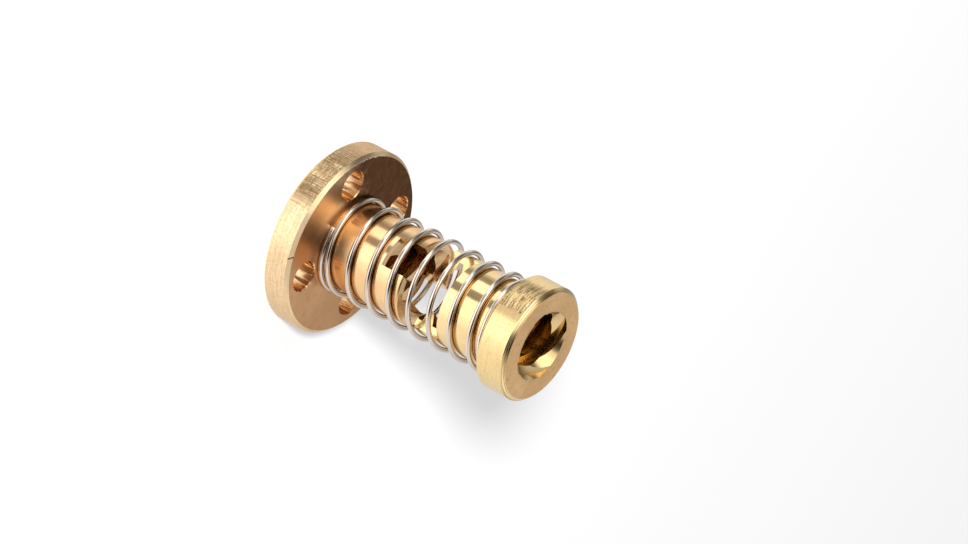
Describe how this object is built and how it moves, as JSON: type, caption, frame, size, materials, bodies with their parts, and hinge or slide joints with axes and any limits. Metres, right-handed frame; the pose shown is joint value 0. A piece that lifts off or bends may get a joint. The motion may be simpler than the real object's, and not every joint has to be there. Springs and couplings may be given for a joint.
{
  "type": "lead screw nut",
  "caption": "Spring-loaded anti-backlash lead screw nut: flanged brass nut, compression spring and collar nut with two tongues on one axis.",
  "frame": {"origin": "on the screw axis, at the flange's mounting face", "axes": "+Z along the screw axis, from the flange to the collar; the collar nut's tongues lie along X"},
  "size_m": [0.022, 0.022, 0.0307],
  "materials": {
    "warm_brass": "turned, lightly tarnished",
    "yellow_brass": "turned and polished",
    "spring_steel": "bright drawn wire"
  },
  "bodies": {
    "flange_body": {"flanged_nut": "warm_brass"},
    "spring_end": {"spring": "spring_steel"},
    "collar_body": {"collar_nut": "yellow_brass"}
  },
  "joints": [
    {"name": "collar_slide", "type": "slide", "parent": "flange_body", "child": "spring_end", "axis": [0, 0, -1], "range_m": [0, 0.0021], "stiffness_N_per_m": 130, "springref_m": -0.0006, "deforming": ["spring"]},
    {"name": "collar_turn", "type": "hinge", "parent": "spring_end", "child": "collar_body", "pos_m": [0, 0, 0.0269], "axis": [0, 0, 1], "continuous": true}
  ]
}
